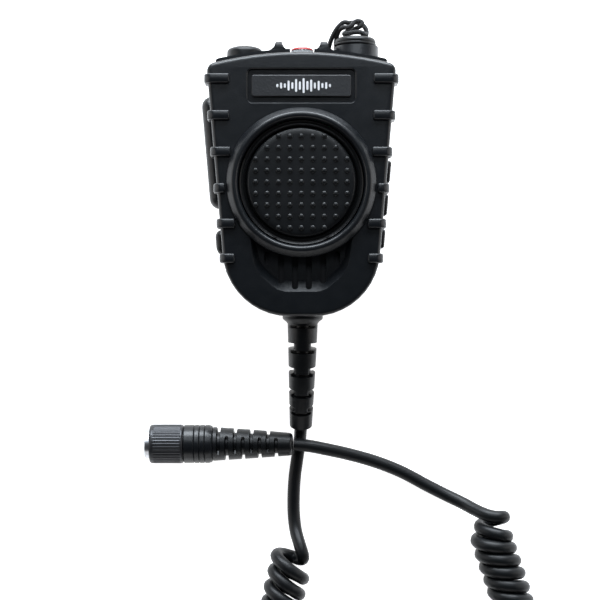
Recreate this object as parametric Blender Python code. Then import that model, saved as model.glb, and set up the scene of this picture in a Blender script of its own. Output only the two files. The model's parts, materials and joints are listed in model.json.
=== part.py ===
"""Remote speaker microphone with a curly cord, modelled as separate pieces.

The microphone lies on its rear clip.  +Z points out of its front face, +Y to its top.
The origin lies on the clip lever's outer flat face, under the centre of the front talk button.
Sizes in this file are millimetres; MM turns them into metres where a mesh is made.
"""
import math

import bmesh
import bpy
from mathutils import Matrix, Vector

MM = 0.001
GAP = 0.3                      # clearance that touching pieces keep

# Housing
SIDE_SLOPE = 0.0862            # how much the half width grows per unit of height
FRONT_HALF_WIDTH = 30.57       # of the front shell, at Y = 0
REAR_HALF_WIDTH = 28.57        # of the rear shell, at Y = 0
CROWN_RADIUS = 131.0           # arc of the top edge
CROWN_ANGLE = math.radians(12.3)   # slope of the top edge where that arc ends
FRONT_TOP, FRONT_BOTTOM = 47.1, -48.1
REAR_TOP, REAR_BOTTOM = 49.75, -46.9
REAR_SHOULDER = 31.35          # half width of the rear shell where its sides turn upright
REAR_Z0, REAR_Z1 = 8.6, 24.9
FRONT_Z0, FRONT_Z1 = 25.2, 34.5
WALL = 2.0
FRONT_FILLET, REAR_FILLET = 1.5, 3.0
SCREW_SPOTS = ((24.5, 33.0), (-24.5, 33.0), (-17.5, -31.0), (17.5, -31.0))

# Front talk button and its bezel, centred on the Z axis
BEZEL_R, BEZEL_BORE_R, BEZEL_TOP = 26.9, 22.7, 38.0
SPIGOT_R = 24.0
BUTTON_R, BUTTON_TOP = 19.7, 36.4

# Grip ribs: height of each pair and where its inner end lies
RIBS = ((37.4, 25.9), (24.2, 25.8), (11.1, 25.4), (-2.0, 27.4), (-14.7, 23.8), (-27.2, 23.9))
RIB_WIDTH, RIB_PROUD, RIB_OUT = 3.4, 1.5, 1.25

# Badge and grille in the front shell
BADGE_Y, BADGE_SIZE, PLATE_SIZE = 34.8, (38.8, 12.2), (35.7, 7.7)
GRILLE_FLOOR = 31.0
SLOT_WIDTH = 2.15
SLOTS = ((-12.4, -29.5), (-7.3, -36.2), (-2.3, -38.4), (2.7, -38.4), (7.9, -36.2), (12.9, -29.5))

# Controls on the walls of the rear shell
SIDE_Z = 16.6                  # middle height of every side and top control
TALK_BAR = (-8.2, 33.3, 5.7)   # lower end, upper end, how far it stands out
KEYS = (("volume_up_key", 1.3, 9.6), ("volume_down_key", -10.8, -2.8), ("function_key", -22.9, -15.7))
KEY_PROUD, KEY_TRAVEL, TALK_TRAVEL = 4.0, 0.8, 1.5
TOP_BUTTON_X, TOP_BUTTON_R = -21.0, 6.6
ALARM_X, ALARM_R = 0.3, 4.1
SOCKET_X, SOCKET_R = 20.0, 6.7
HORN_X, HORN_TOP = 8.3, 52.8
JACK_Y = -20.7

# Clip
STUD_Y = 10.0                  # swivel axis of the clip
CLIP_PIVOT_Y, CLIP_PIVOT_Z = 24.0, 3.8

# Cord: routes are chosen by hand, in the order in which the cord runs
CORD_D = 4.8
BOOT_Z = 16.4
BOOT_ROUTE = ((0.5, -49.9, 16.4), (0.4, -60.0, 15.8), (0.2, -71.0, 13.6), (0.0, -81.0, 10.3),
              (-0.2, -90.7, 6.2))
LEAD_ROUTE = ((-0.25, -91.0, 6.05), (-0.5, -94.5, 4.0), (-1.0, -98.5, 2.6), (-1.7, -103.5, 2.5),
              (-2.5, -109.5, 2.5), (-2.9, -116.0, 2.5), (-2.9, -123.0, 2.5), (-2.2, -128.8, 3.0),
              (-0.9, -133.2, 4.5), (0.7, -136.6, 6.3))
COIL_ROUTE = ((-3.3, -137.8), (-4.8, -145.1), (-7.0, -155.3), (-8.6, -170.0), (-3.5, -186.0), (12.0, -198.0),
              (35.0, -202.5), (58.0, -198.5), (75.0, -187.0), (82.0, -170.0), (78.3, -152.1), (75.3, -142.8),
              (72.3, -133.7), (71.0, -128.2))
COIL_R, COIL_Z = 8.2, 8.4
TAIL_ROUTE = ((71.4, -126.2, 8.4), (70.7, -123.7, 8.0), (67.4, -121.9, 5.8), (61.3, -119.3, 3.6),
              (55.0, -116.4, 2.7), (48.0, -112.9, 2.5), (38.0, -107.6, 2.7), (28.0, -103.6, 3.7),
              (18.0, -100.6, 5.7), (9.0, -98.4, 8.0), (2.0, -97.0, 9.1), (-2.8, -96.55, 9.1))
PLUG_Y, PLUG_Z = -96.5, 7.5
PLUG_BOOT = ((-3.3, 4.15, 8.8), (-8.0, 4.7, 8.5), (-16.0, 5.3, 8.1), (-26.0, 5.9, 7.7), (-33.0, 6.4, 7.5))

# Finishes: colour, roughness, metallic
FINISHES = {
    "case": ((0.018, 0.020, 0.023), 0.55, 0.0),
    "rubber": ((0.012, 0.013, 0.014), 0.62, 0.0),
    "gloss": ((0.008, 0.008, 0.009), 0.22, 0.0),
    "cord": ((0.014, 0.015, 0.016), 0.48, 0.0),
    "badge": ((0.045, 0.047, 0.050), 0.50, 0.0),
    "red": ((0.45, 0.015, 0.015), 0.25, 0.0),
    "clear": ((0.75, 0.76, 0.78), 0.12, 0.0),
    "steel": ((0.55, 0.56, 0.58), 0.32, 1.0),
    "black_steel": ((0.05, 0.05, 0.055), 0.40, 1.0),
    "board": ((0.02, 0.16, 0.07), 0.45, 0.0),
    "paper": ((0.16, 0.15, 0.13), 0.85, 0.0),
    "magnet": ((0.12, 0.12, 0.13), 0.50, 0.6),
    "gold": ((0.83, 0.63, 0.28), 0.25, 1.0),
    "foam": ((0.03, 0.03, 0.03), 0.95, 0.0),
}


# ---------------------------------------------------------------- making objects

def clear_scene():
    for item in list(bpy.data.objects):
        bpy.data.objects.remove(item, do_unlink=True)


def finish_material(name, finish):
    colour, rough, metal = FINISHES[finish]
    mat = bpy.data.materials.new(name)
    mat.use_nodes = True
    shader = mat.node_tree.nodes["Principled BSDF"]
    shader.inputs["Base Color"].default_value = (*colour, 1.0)
    shader.inputs["Roughness"].default_value = rough
    shader.inputs["Metallic"].default_value = metal
    mat.diffuse_color = (*colour, 1.0)
    return mat


def to_object(name, bm, origin):
    """Turn a millimetre mesh into an object whose origin is at a point of the joint's axis."""
    bmesh.ops.translate(bm, verts=bm.verts, vec=-Vector(origin))
    bmesh.ops.scale(bm, verts=bm.verts, vec=(MM, MM, MM))
    bmesh.ops.recalc_face_normals(bm, faces=bm.faces)
    mesh = bpy.data.meshes.new(name)
    bm.to_mesh(mesh)
    bm.free()
    item = bpy.data.objects.new(name, mesh)
    item.location = Vector(origin) * MM
    bpy.context.scene.collection.objects.link(item)
    return item


def piece(name, bm, finish, origin=(0, 0, 0)):
    item = to_object(name, bm, origin)
    item.data.shade_smooth()
    item.data.set_sharp_from_angle(angle=math.radians(35))
    item.data.materials.append(finish_material(name, finish))
    return item


def combine(target, bm, operation, label):
    """Add a Boolean step with a hidden tool body."""
    tool = to_object(f"{target.name}.{label}", bm, (0, 0, 0))
    tool.hide_render = True
    tool.display_type = "WIRE"
    step = target.modifiers.new(label, "BOOLEAN")
    step.operation = operation
    step.object = tool
    step.solver = "EXACT"


def cut(target, bm, label):
    combine(target, bm, "DIFFERENCE", label)


def join(target, bm, label):
    combine(target, bm, "UNION", label)


# ---------------------------------------------------------------- basic shapes

def rounded(corners, inset=0.0, steps=5):
    """Outline of a convex, anticlockwise polygon of (x, y, radius) corners, moved inwards by inset."""
    points = []
    count = len(corners)
    for i, (x, y, radius) in enumerate(corners):
        here = Vector((x, y))
        before = here - Vector(corners[i - 1][:2])
        after = Vector(corners[(i + 1) % count][:2]) - here
        normal_in = Vector((-before.y, before.x)).normalized()
        normal_out = Vector((-after.y, after.x)).normalized()
        mitre = (normal_in + normal_out) / (1.0 + normal_in.dot(normal_out))
        radius = max(radius - inset, 0.4)
        centre = here + mitre * (inset + radius)
        start = math.atan2(-normal_in.y, -normal_in.x)
        turn = normal_in.angle(normal_out)
        for k in range(steps + 1):
            angle = start + turn * k / steps
            points.append(centre + Vector((math.cos(angle), math.sin(angle))) * radius)
    return points


def loft(rings):
    """Closed body through rings that all have the same number of points."""
    bm = bmesh.new()
    loops = [[bm.verts.new(point) for point in ring] for ring in rings]
    for low, high in zip(loops, loops[1:]):
        for i in range(len(low)):
            j = (i + 1) % len(low)
            bm.faces.new((low[i], low[j], high[j], high[i]))
    bm.faces.new(loops[0])
    bm.faces.new(loops[-1])
    return bm


def level(outline, z):
    return [Vector((p.x, p.y, z)) for p in outline]


def prism(outline, z0, z1):
    return loft([level(outline, z0), level(outline, z1)])


def rectangle(x0, x1, y0, y1, radius):
    return ((x1, y0, radius), (x1, y1, radius), (x0, y1, radius), (x0, y0, radius))


AXES = {
    "X": Matrix(((0, 0, 1, 0), (1, 0, 0, 0), (0, 1, 0, 0), (0, 0, 0, 1))),
    "Y": Matrix(((1, 0, 0, 0), (0, 0, 1, 0), (0, -1, 0, 0), (0, 0, 0, 1))),
    "Z": Matrix.Identity(4),
}


def turned(profile, axis="Z", centre=(0, 0, 0), steps=24):
    """Body of revolution of a closed (radius, height) profile about an axis through centre."""
    bm = bmesh.new()
    rings = []
    for radius, height in profile:
        if radius == 0:
            rings.append([bm.verts.new((0, 0, height))])
            continue
        angles = [2 * math.pi * k / steps for k in range(steps)]
        rings.append([bm.verts.new((radius * math.cos(a), radius * math.sin(a), height)) for a in angles])
    for low, high in zip(rings, rings[1:] + rings[:1]):
        if len(low) == 1 and len(high) == 1:
            continue
        for i in range(steps):
            j = (i + 1) % steps
            corners = [low[i % len(low)], low[j % len(low)], high[j % len(high)], high[i % len(high)]]
            bm.faces.new(list(dict.fromkeys(corners)))
    bmesh.ops.recalc_face_normals(bm, faces=bm.faces)
    bmesh.ops.transform(bm, matrix=Matrix.Translation(centre) @ AXES[axis], verts=bm.verts)
    return bm


def rod(radius, start, end, axis="Z", centre=(0, 0, 0), steps=16):
    return turned([(0, start), (radius, start), (radius, end), (0, end)], axis, centre, steps)


def block(low, high, bevel=0.0, steps=2):
    bm = bmesh.new()
    bmesh.ops.create_cube(bm, size=1.0)
    size = Vector(high) - Vector(low)
    bmesh.ops.scale(bm, verts=bm.verts, vec=size)
    bmesh.ops.translate(bm, verts=bm.verts, vec=(Vector(high) + Vector(low)) / 2)
    if bevel:
        bmesh.ops.bevel(bm, geom=bm.edges[:], offset=bevel, segments=steps, affect="EDGES", profile=0.5)
    return bm


def merged(parts):
    """One mesh that holds several separate tool bodies."""
    bm = bmesh.new()
    for part in parts:
        mesh = bpy.data.meshes.new("part")
        part.to_mesh(mesh)
        part.free()
        bm.from_mesh(mesh)
        bpy.data.meshes.remove(mesh)
    return bm


def wall_frame(side, y):
    """Local axes on the rear shell's side wall: x up along it, y straight out of it, z the same."""
    along = Vector((side * SIDE_SLOPE, 1, 0)).normalized()
    out = Vector((side, -SIDE_SLOPE, 0)).normalized()
    matrix = Matrix((along, out, (0, 0, 1))).transposed().to_4x4()
    matrix.translation = (side * (REAR_HALF_WIDTH + SIDE_SLOPE * y), y, SIDE_Z)
    return matrix


def on_wall(bm, side, y):
    bmesh.ops.transform(bm, matrix=wall_frame(side, y), verts=bm.verts)
    bmesh.ops.recalc_face_normals(bm, faces=bm.faces)
    return bm


def smooth_route(points, spacing):
    """Catmull-Rom curve through the points, read at about equal steps."""
    points = [Vector(p) for p in points]
    ends = [2 * points[0] - points[1]] + points + [2 * points[-1] - points[-2]]
    fine = []
    for a, b, c, d in zip(ends, ends[1:], ends[2:], ends[3:]):
        for k in range(20):
            t = k / 20
            fine.append(0.5 * (2 * b + (c - a) * t + (2 * a - 5 * b + 4 * c - d) * t ** 2
                               + (3 * b - a - 3 * c + d) * t ** 3))
    fine.append(points[-1])
    length = sum((q - p).length for p, q in zip(fine, fine[1:]))
    step = length / max(2, round(length / spacing))
    route, travelled = [fine[0]], 0.0
    for p, q in zip(fine, fine[1:]):
        travelled += (q - p).length
        if travelled >= step * len(route) - 1e-6:
            route.append(q)
    if (route[-1] - fine[-1]).length > step / 2:
        route.append(fine[-1])
    route[-1] = fine[-1]
    return route


def cord_curve(name, route, diameter, resolution, finish="cord"):
    curve = bpy.data.curves.new(name, "CURVE")
    curve.dimensions = "3D"
    curve.bevel_depth = diameter / 2 * MM
    curve.bevel_resolution = resolution
    curve.use_fill_caps = True
    spline = curve.splines.new("POLY")
    spline.points.add(len(route) - 1)
    for knot, point in zip(spline.points, route):
        knot.co = (*(Vector(point) * MM), 1.0)
    curve.materials.append(finish_material(name, finish))
    item = bpy.data.objects.new(name, curve)
    bpy.context.scene.collection.objects.link(item)
    return item


def swept(stations, sides=14):
    """Round body through (centre, radius) stations, square to the line through them."""
    centres = [Vector(c) for c, _ in stations]
    rings = []
    for i, (centre, radius) in enumerate(stations):
        ahead = centres[min(i + 1, len(centres) - 1)] - centres[max(i - 1, 0)]
        side = ahead.cross(Vector((0, 0, 1))).normalized()
        up = side.cross(ahead).normalized()
        angles = [2 * math.pi * k / sides for k in range(sides)]
        rings.append([centres[i] + (side * math.cos(a) + up * math.sin(a)) * radius for a in angles])
    return loft(rings)


# ---------------------------------------------------------------- housing

def shell_corners(half_width, top, bottom, bottom_radius, shoulder=None):
    """Outline of a shell: wedge sides under a crowned top, upright above the half width shoulder."""
    roof = math.tan(CROWN_ANGLE)
    apex = top + CROWN_RADIUS * (1 / math.cos(CROWN_ANGLE) - 1)
    x_top = shoulder or (half_width + SIDE_SLOPE * apex) / (1 + SIDE_SLOPE * roof)
    y_top = apex - roof * x_top
    x_low = half_width + SIDE_SLOPE * bottom
    if not shoulder:
        return ((x_top, y_top, 3.2), (0, apex, CROWN_RADIUS), (-x_top, y_top, 3.2),
                (-x_low, bottom, bottom_radius), (x_low, bottom, bottom_radius))
    y_turn = (shoulder - half_width) / SIDE_SLOPE
    return ((x_top, y_top, 1.0), (0, apex, CROWN_RADIUS), (-x_top, y_top, 1.0), (-shoulder, y_turn, 9.0),
            (-x_low, bottom, bottom_radius), (x_low, bottom, bottom_radius), (shoulder, y_turn, 9.0))


FRONT_CORNERS = shell_corners(FRONT_HALF_WIDTH, FRONT_TOP, FRONT_BOTTOM, 24.0)
REAR_CORNERS = shell_corners(REAR_HALF_WIDTH, REAR_TOP, REAR_BOTTOM, 22.0, REAR_SHOULDER)


def fillet_rings(corners, edge_z, radius, towards):
    """Rings that round a shell's edge off; towards is +1 when its flat face looks up."""
    rings = []
    for k in range(5):
        angle = math.radians(90 * k / 4)
        inset = radius * (1 - math.cos(angle))
        z = edge_z - towards * radius * (1 - math.sin(angle))
        rings.append(level(rounded(corners, inset), z))
    return rings


def rib_body(side, y, inner):
    """One grip rib: along the face, over the edge and down the side."""
    edge = FRONT_HALF_WIDTH + SIDE_SLOPE * y
    outer = edge + RIB_OUT
    top = FRONT_Z1 + RIB_PROUD
    profile = ((inner, 33.5), (edge - 1.6, 32.7), (edge - 1.0, 30.5), (edge - 1.0, 26.3), (outer, 26.3),
               (outer, 33.4), (outer - 0.7, 35.2), (outer - 2.0, top), (inner + 0.9, top), (inner, top - 0.8))
    rings = []
    for offset in (-RIB_WIDTH / 2, RIB_WIDTH / 2):
        rings.append([Vector((side * x, y + offset, z)) for x, z in profile])
    body = loft(rings)
    bmesh.ops.recalc_face_normals(body, faces=body.faces)
    return body


def grille_corners(bottom, middle, top_half):
    """U shape that opens towards the front button; bottom and middle are (half width, y, radius)."""
    right = (bottom, middle, (top_half, -15.0, 2.0))
    left = [(-x, y, radius) for x, y, radius in reversed(right)]
    return (*right, *left)


GRILLE_RIM = grille_corners((8.0, -39.15, 9.0), (16.8, -31.6, 12.0), 18.9)
GRILLE_FOOT = grille_corners((8.2, -35.15, 3.0), (14.6, -29.4, 9.0), 18.4)


def make_front_shell():
    rings = [level(rounded(FRONT_CORNERS), FRONT_Z0)] + fillet_rings(FRONT_CORNERS, FRONT_Z1, FRONT_FILLET, 1)
    shell = piece("front_shell", loft(rings), "case")
    cavity = [level(rounded(FRONT_CORNERS, WALL), FRONT_Z0 - 2), level(rounded(FRONT_CORNERS, WALL), 30.9),
              level(rounded(FRONT_CORNERS, WALL + 1.6), FRONT_Z1 - 2.2)]
    cut(shell, loft(cavity), "cavity")
    join(shell, prism(rounded(GRILLE_RIM, -2.6), 28.9, 33.0), "grille_pad")
    bosses = merged(rod(3.0, FRONT_Z0, 33.0, centre=(x, y, 0), steps=12) for x, y in SCREW_SPOTS)
    join(shell, bosses, "bosses")
    ribs = [rib_body(side, y, inner) for side in (1, -1) for y, inner in RIBS]
    join(shell, merged(ribs), "ribs")
    cut(shell, rod(SPIGOT_R + GAP, 20.0, 40.0, steps=40), "bezel_hole")
    slope = [level(rounded(GRILLE_FOOT), GRILLE_FLOOR), level(rounded(GRILLE_RIM), FRONT_Z1),
             level(rounded(GRILLE_RIM), FRONT_Z1 + 1.0)]
    cut(shell, loft(slope), "grille_recess")
    slots = [block((x - SLOT_WIDTH / 2, y, 27.0), (x + SLOT_WIDTH / 2, -25.4, 36.0)) for x, y in SLOTS]
    cut(shell, merged(slots), "slots")
    width, height = BADGE_SIZE
    low, high = BADGE_Y - height / 2, BADGE_Y + height / 2
    recess = rounded(rectangle(-width / 2, width / 2, low, high, 1.8), steps=3)
    cut(shell, prism(recess, 33.3, 36.0), "badge_recess")
    holes = merged(rod(1.5, 20.0, 30.6, centre=(x, y, 0), steps=12) for x, y in SCREW_SPOTS)
    cut(shell, holes, "screw_holes")
    return shell


def horn_body(x):
    """One of the two guards beside the alarm button: flared foot, chamfered top front edge."""
    chamfer = 1.1
    rings = []
    front = SIDE_Z + 6.0
    for z, top in ((SIDE_Z - 6.0, HORN_TOP), (front - chamfer, HORN_TOP), (front, HORN_TOP - chamfer)):
        half = ((3.9, 48.6), (3.6, 49.5), (2.7, 50.0), (1.9, 50.7), (1.5, 51.5), (1.2, top))
        outline = half + tuple((-dx, y) for dx, y in reversed(half))
        rings.append([Vector((x + dx, y, z)) for dx, y in outline])
    body = loft(rings)
    bmesh.ops.recalc_face_normals(body, faces=body.faces)
    return body


def make_rear_shell():
    rings = list(reversed(fillet_rings(REAR_CORNERS, REAR_Z0, REAR_FILLET, -1)))
    rings.append(level(rounded(REAR_CORNERS), REAR_Z1))
    shell = piece("rear_shell", loft(rings), "case")
    cavity = [level(rounded(REAR_CORNERS, WALL + 1.2), REAR_Z0 + WALL + 0.2),
              level(rounded(REAR_CORNERS, WALL), REAR_Z0 + WALL + 1.4),
              level(rounded(REAR_CORNERS, WALL), 27.0)]
    cut(shell, loft(cavity), "cavity")
    posts = [rod(3.4, REAR_Z0 + 1.0, REAR_Z1 - 0.2, centre=(x, y, 0), steps=12) for x, y in SCREW_SPOTS]
    join(shell, merged(posts), "posts")
    join(shell, rod(8.0, 46.2, 51.6, "Y", (SOCKET_X + 0.55, 0, SIDE_Z), 28), "socket_boss")
    join(shell, block((ALARM_X - 6.3, 46.1, 11.0), (ALARM_X + 6.3, 49.3, REAR_Z1)), "alarm_pocket")
    join(shell, merged([horn_body(HORN_X), horn_body(-HORN_X)]), "horns")
    holes = []
    for x, y in SCREW_SPOTS:
        holes.append(turned([(0, 6.0), (2.9, 6.0), (2.9, 11.6), (1.5, 11.6), (1.5, 27.0), (0, 27.0)],
                            centre=(x, y, 0), steps=12))
    cut(shell, merged(holes), "screw_holes")
    cut(shell, rod(3.3, 6.0, 14.0, centre=(0, STUD_Y, 0)), "stud_hole")
    cut(shell, rod(5.9, 44.0, 56.0, "Y", (SOCKET_X, 0, SIDE_Z), 20), "socket_hole")
    cut(shell, rod(SOCKET_R + GAP, 50.0, 56.0, "Y", (SOCKET_X, 0, SIDE_Z), 24), "socket_seat")
    cut(shell, rod(ALARM_R + GAP, 45.0, 56.0, "Y", (ALARM_X, 0, SIDE_Z), 20), "alarm_hole")
    notch = ALARM_R + GAP
    cut(shell, block((ALARM_X - notch, 46.9, SIDE_Z), (ALARM_X + notch, 56.0, REAR_Z1 + 2.0)), "alarm_notch")
    cut(shell, rod(TOP_BUTTON_R + GAP, 41.9, 56.0, "Y", (TOP_BUTTON_X, 0, SIDE_Z), 24), "top_button_hole")
    cut(shell, rod(4.6, -52.0, -42.0, "Y", (0.5, 0, BOOT_Z), 20), "cord_hole")
    low, high, _ = TALK_BAR
    cut(shell, on_wall(block((low + 3.0, -6, -4.6), (high - 3.0, 6, 4.6), 0.8), -1, 0.0), "talk_opening")
    key_holes = [on_wall(block((y0 - GAP, -6, -3.4), (y1 + GAP, 6, 3.4), 0.6), 1, 0.0) for _, y0, y1 in KEYS]
    cut(shell, merged(key_holes), "key_openings")
    port = rod(3.2, -5.0, 6.0, "Y", (0, 0, 0), 16)
    cut(shell, on_wall(port, -1, JACK_Y), "jack_opening")
    return shell


def make_gasket():
    outer = rounded(FRONT_CORNERS, WALL + 2.6)
    inner = rounded(FRONT_CORNERS, WALL + 3.6)
    band = piece("housing_gasket", prism(outer, 23.2, 26.6), "rubber")
    cut(band, prism(inner, 22.0, 28.0), "inside")
    notches = [rod(3.4 + 0.4, 22.0, 28.0, centre=(x, y, 0), steps=12) for x, y in SCREW_SPOTS]
    cut(band, merged(notches), "post_notches")
    return band


def make_case_screws():
    for number, (x, y) in enumerate(SCREW_SPOTS, start=1):
        profile = [(0, 9.3), (2.5, 9.3), (2.5, 11.2), (1.15, 11.2), (1.15, 29.5), (0, 30.2)]
        screw = piece(f"case_screw_{number}", turned(profile, centre=(x, y, 0), steps=14), "black_steel")
        cut(screw, rod(0.95, 8.0, 10.4, centre=(x, y, 0), steps=6), "socket")


# ---------------------------------------------------------------- front of the housing

def make_bezel():
    profile = [(BEZEL_BORE_R, 31.2), (SPIGOT_R, 31.2), (SPIGOT_R, FRONT_Z1 + GAP), (BEZEL_R, FRONT_Z1 + GAP),
               (BEZEL_R, 35.5), (25.0, 37.8), (24.4, BEZEL_TOP), (23.5, BEZEL_TOP), (BEZEL_BORE_R, 36.9)]
    piece("ptt_bezel_ring", turned(profile, steps=48), "case")
    moat = [(BUTTON_R + GAP, 33.2), (BEZEL_BORE_R - GAP, 33.2), (BEZEL_BORE_R - GAP, 34.6), (21.2, 35.2),
            (BUTTON_R + GAP, 34.4)]
    piece("ptt_membrane", turned(moat, steps=40), "gloss")


def make_front_button():
    profile = [(0, 29.6), (3.0, 29.6), (3.0, 31.2), (21.6, 31.2), (21.6, 32.2), (BUTTON_R, 32.2),
               (BUTTON_R, 35.3), (19.0, 36.0), (17.8, BUTTON_TOP - 0.1), (0, BUTTON_TOP)]
    piece("front_ptt_button", turned(profile, steps=48), "rubber", (0, 0, BUTTON_TOP))
    piece("ptt_switch_board", block((-22.0, -4.0, 26.0), (22.0, 6.0, 27.0)), "board")
    piece("front_ptt_switch", rod(2.6, 27.3, 27.9, steps=14), "steel")


def make_badge():
    width, height = PLATE_SIZE
    low, high = BADGE_Y - height / 2, BADGE_Y + height / 2
    outline = rounded(rectangle(-width / 2, width / 2, low, high, 0.9), steps=2)
    piece("badge_plate", prism(outline, 33.6, 34.2), "badge")


def make_speaker():
    y = -14.0
    frame = [(9.6, 18.4), (11.0, 18.4), (15.4, 24.0), (16.0, 24.0), (16.0, 25.0), (14.6, 25.0), (9.6, 19.6)]
    piece("speaker_frame", turned(frame, centre=(0, y, 0), steps=28), "steel")
    magnet = [(0, 14.2), (9.0, 14.2), (9.0, 18.1), (0, 18.1)]
    piece("speaker_magnet", turned(magnet, centre=(0, y, 0)), "magnet")
    cone = [(0, 21.2), (4.0, 21.2), (13.6, 24.8), (13.6, 25.2), (4.0, 21.8), (0, 21.8)]
    piece("speaker_cone", turned(cone, centre=(0, y, 0)), "paper")
    ring = [(14.2, 25.3), (15.9, 25.3), (15.9, 25.7), (14.2, 25.7)]
    piece("speaker_gasket", turned(ring, centre=(0, y, 0)), "foam")
    screen = rounded(rectangle(-14.0, 14.0, -38.6, -24.8, 2.0), steps=2)
    piece("grille_screen", prism(screen, 28.0, 28.6), "black_steel")
    boot = [(3.2, 24.4), (4.4, 24.4), (4.4, 27.7), (3.2, 27.7)]
    piece("mic_boot", turned(boot, centre=(0, -38.0, 0), steps=18), "rubber")
    piece("mic_capsule", rod(2.9, 24.6, 27.5, centre=(0, -38.0, 0), steps=18), "steel")


def make_boards():
    corners = ((16.0, -40.0, 9.0), (22.0, 36.0, 3.0), (-22.0, 36.0, 3.0), (-16.0, -40.0, 9.0))
    outline = rounded(corners, steps=3)
    board = piece("main_pcb", prism(outline, 11.3, 12.9), "board")
    cut(board, rod(6.8, 10.0, 14.0, centre=(0, STUD_Y, 0), steps=14), "nut_clearance")
    notches = [rod(3.8, 10.0, 14.0, centre=(x, y, 0), steps=10) for x, y in SCREW_SPOTS]
    cut(board, merged(notches), "post_notches")


# ---------------------------------------------------------------- controls

def make_talk_bar():
    low, high, proud = TALK_BAR
    half_z = 5.4
    head = rounded(rectangle(low, high, -half_z, half_z, 4.2), steps=4)
    face = rounded(rectangle(low, high, -half_z, half_z, 4.2), 1.7, steps=4)
    rings = []
    for outline, out in ((head, 1.9), (head, proud - 1.5), (face, proud)):
        rings.append([Vector((p.x, out, p.y)) for p in outline])
    origin = wall_frame(-1, 12.5) @ Vector((0, proud, 0))
    bar = piece("side_ptt_bar", on_wall(loft(rings), -1, 0.0), "rubber", origin)
    join(bar, on_wall(block((low + 4.0, -4.0, -3.6), (high - 4.0, 2.4, 3.6), 0.5, 1), -1, 0.0), "plunger")
    switch = block((9.0, -8.6, -2.8), (16.0, -4.0 - TALK_TRAVEL - 0.4, 2.8), 0.3, 1)
    piece("side_ptt_switch", on_wall(switch, -1, 0.0), "black_steel")


def make_keys():
    for name, low, high in KEYS:
        middle = (low + high) / 2
        half = (high - low) / 2
        stem = block((-half, -3.2, -3.1), (half, KEY_PROUD, 3.1), 0.9, 2)
        origin = wall_frame(1, middle) @ Vector((0, KEY_PROUD, 0))
        key = piece(name, on_wall(stem, 1, middle), "rubber", origin)
        flange = block((-half - 1.0, -3.4, -4.2), (half + 1.0, -2.5, 4.2))
        join(key, on_wall(flange, 1, middle), "flange")
        switch = block((-2.2, -6.8, -2.2), (2.2, -3.4 - KEY_TRAVEL - 0.4, 2.2), 0.3, 1)
        piece(name.replace("_key", "_switch"), on_wall(switch, 1, middle), "black_steel")


def make_top_button():
    centre = (TOP_BUTTON_X, 0, SIDE_Z)
    profile = [(0, 43.2), (TOP_BUTTON_R, 43.2), (TOP_BUTTON_R, 49.8), (6.2, 50.6), (4.2, 51.45),
               (2.2, 51.9), (0, 52.0)]
    button = piece("top_button", turned(profile, "Y", centre, 28), "rubber", (TOP_BUTTON_X, 52.0, SIDE_Z))
    tabs = block((TOP_BUTTON_X - 7.7, 43.2, SIDE_Z - 3.5), (TOP_BUTTON_X + 7.7, 44.2, SIDE_Z + 3.5))
    join(button, tabs, "tabs")
    switch = block((TOP_BUTTON_X - 3, 39.6, SIDE_Z - 3), (TOP_BUTTON_X + 3, 41.9, SIDE_Z + 3), 0.3, 1)
    piece("top_button_switch", switch, "black_steel")


def make_alarm_button():
    centre = (ALARM_X, 0, SIDE_Z)
    skirt = [(2.15, 44.6), (4.9, 44.6), (4.9, 45.6), (ALARM_R, 45.6), (ALARM_R, 50.1), (2.15, 50.1)]
    piece("light_pipe", turned(skirt, "Y", centre, 20), "clear")
    cap = [(0, 44.4), (1.9, 44.4), (1.9, 50.35), (ALARM_R, 50.35), (3.9, 50.8), (3.0, 51.25), (1.6, 51.5),
           (0, 51.57)]
    piece("emergency_button", turned(cap, "Y", centre, 20), "red", (ALARM_X, 51.57, SIDE_Z))
    switch = block((ALARM_X - 3, 39.6, SIDE_Z - 3), (ALARM_X + 3, 43.2, SIDE_Z + 3), 0.3, 1)
    piece("emergency_switch", switch, "black_steel")


def make_socket():
    centre = (SOCKET_X, 0, SIDE_Z)
    body = [(4.2, 40.5), (5.55, 40.5), (5.55, 50.2), (SOCKET_R, 50.2), (SOCKET_R, 52.9), (6.5, 53.1),
            (4.2, 53.1)]
    piece("accessory_socket", turned(body, "Y", centre, 28), "black_steel")
    piece("accessory_insert", rod(3.9, 40.8, 50.0, "Y", centre, 16), "gloss")
    cap = [(0, 51.2), (3.7, 51.2), (3.7, 53.4), (7.0, 53.4), (7.0, 51.9), (7.75, 51.9), (7.75, 52.75),
           (7.4, 52.9), (7.6, 53.2), (7.4, 54.2), (6.6, 54.85), (5.2, 55.05), (0, 55.15)]
    cover = piece("dust_cap", turned(cap, "Y", centre, 28), "rubber", (SOCKET_X, 55.15, SIDE_Z))
    post = block((21.9, 54.4, SIDE_Z - 1.6), (24.9, 56.6, SIDE_Z + 1.6), 0.5, 1)
    join(cover, post, "eyelet_post")


def make_tether():
    knot = bmesh.new()
    bmesh.ops.create_icosphere(knot, subdivisions=2, radius=1.0)
    bmesh.ops.scale(knot, verts=knot.verts, vec=(4.4, 2.1, 2.4))
    tilt = Matrix.Translation((18.9, 59.6, SIDE_Z)) @ Matrix.Rotation(math.radians(-18), 4, "Z")
    bmesh.ops.transform(knot, matrix=tilt, verts=knot.verts)
    cord = piece("tether_cord", knot, "foam", (SOCKET_X, 55.15, SIDE_Z))
    strand = ((15.4, 60.0, 16.6), (12.8, 57.9, 15.5), (11.4, 55.2, 13.5), (11.4, 53.0, 12.0),
              (11.9, 51.6, 11.3))
    join(cord, swept([(p, 0.95) for p in smooth_route(strand, 1.8)], 8), "strand")


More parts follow.
